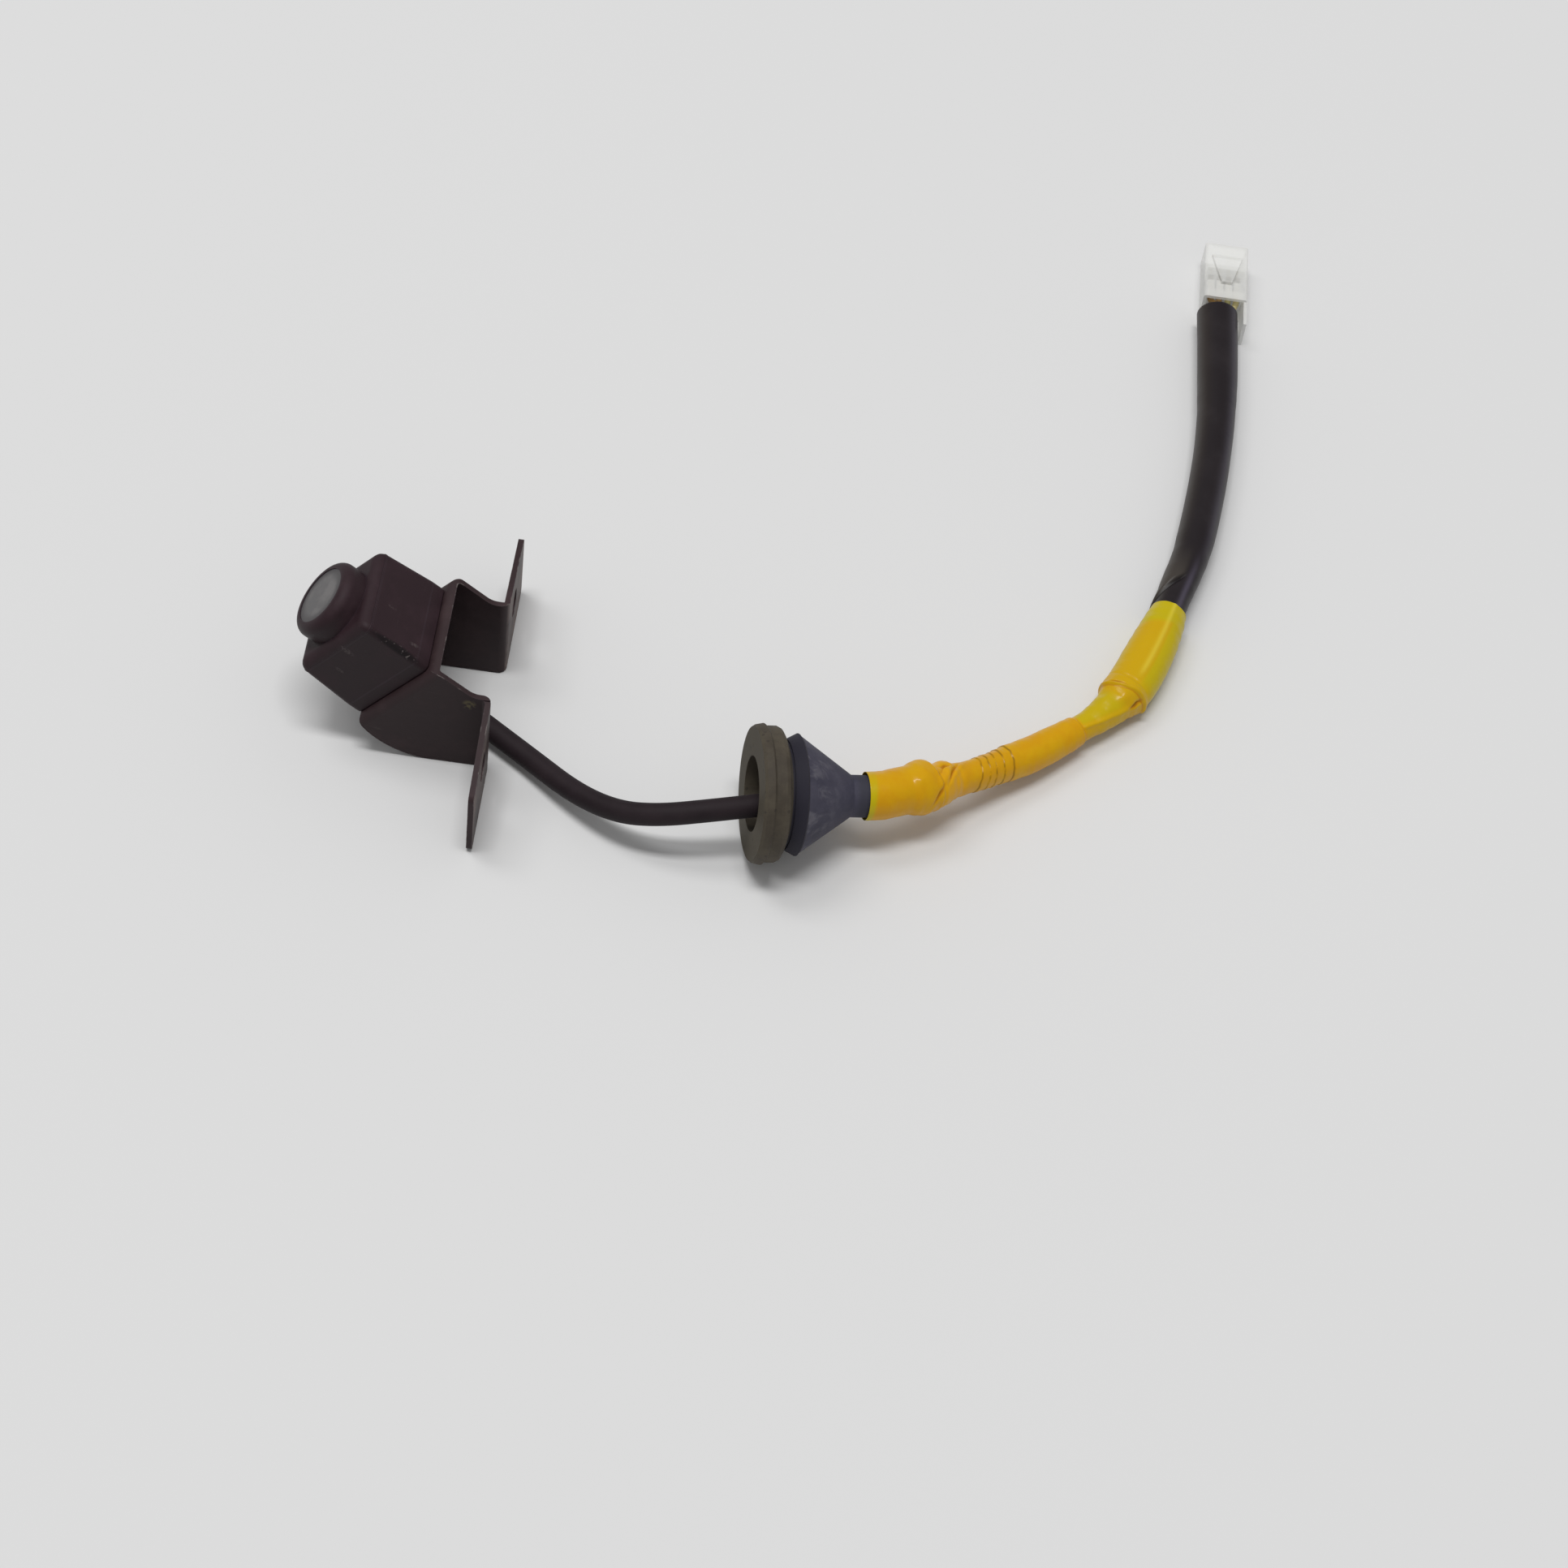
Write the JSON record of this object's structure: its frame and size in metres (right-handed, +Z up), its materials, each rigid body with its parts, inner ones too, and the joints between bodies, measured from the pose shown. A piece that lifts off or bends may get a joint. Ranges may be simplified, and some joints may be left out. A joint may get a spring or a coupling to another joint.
{
  "type": "rear view camera",
  "caption": "Square rear view camera tilted up on a folded bracket with two flanges, with its cable, panel grommet, taped and sleeved run and a clear plug.",
  "frame": {"origin": "on the table under the middle of the camera unit's own width and depth, cable and plug left out", "axes": "+Z up from the table, -Y the way the camera looks (it also looks up by 39.6 degrees), +Y out of the flanges' mounting faces, +X along the bracket's width"},
  "size_m": [0.2144, 0.2079, 0.0393],
  "materials": {
    "bracket_paint": "black paint, dusty and scuffed",
    "housing_shell": "fine matt grain, dusty",
    "window_glass": "dusty",
    "lens_glass": "clear",
    "seal_rubber": "matt",
    "grommet_rubber": "dusty",
    "black_metal": "black",
    "black_plastic": "plain",
    "board_green": "solder mask",
    "small_parts": "plain",
    "screw_steel": "plain",
    "cable_jacket": "matt",
    "yellow_tape": "soft gloss, dirty along the laps",
    "sleeve_vinyl": "soft sheen",
    "lead_black": "plain",
    "lead_red": "plain",
    "lead_green": "plain",
    "lead_yellow": "plain",
    "clear_nylon": "translucent",
    "terminal_brass": "tinned"
  },
  "bodies": {
    "root": {"mounting_bracket": "bracket_paint", "front_housing": "housing_shell", "rear_cover": "housing_shell", "lens_window": "window_glass", "front_lens": "lens_glass", "middle_lens": "lens_glass", "rear_lens": "lens_glass", "infrared_filter": "lens_glass", "housing_seal": "seal_rubber", "window_seal": "seal_rubber", "cable_gland": "seal_rubber", "grommet": "grommet_rubber", "lens_barrel": "black_metal", "lens_spacer": "black_metal", "aperture_ring": "black_metal", "lens_retainer": "black_metal", "lens_holder": "black_plastic", "signal_chip": "black_plastic", "image_sensor": "black_plastic", "sensor_board": "board_green", "signal_board": "board_green", "board_capacitors": "small_parts", "board_link": "small_parts", "cable_header": "small_parts", "board_spacers": "screw_steel", "board_screws": "screw_steel", "housing_screws": "screw_steel", "bracket_screws": "screw_steel", "camera_cable": "cable_jacket", "neck_tape": "yellow_tape", "cable_tape": "yellow_tape", "sleeve_tape": "yellow_tape", "protective_sleeve": "sleeve_vinyl", "wire_black": "lead_black", "wire_red": "lead_red", "inner_leads": "lead_red", "wire_green": "lead_green", "wire_yellow": "lead_yellow", "connector_housing": "clear_nylon", "connector_terminals": "terminal_brass"}
  },
  "joints": []
}
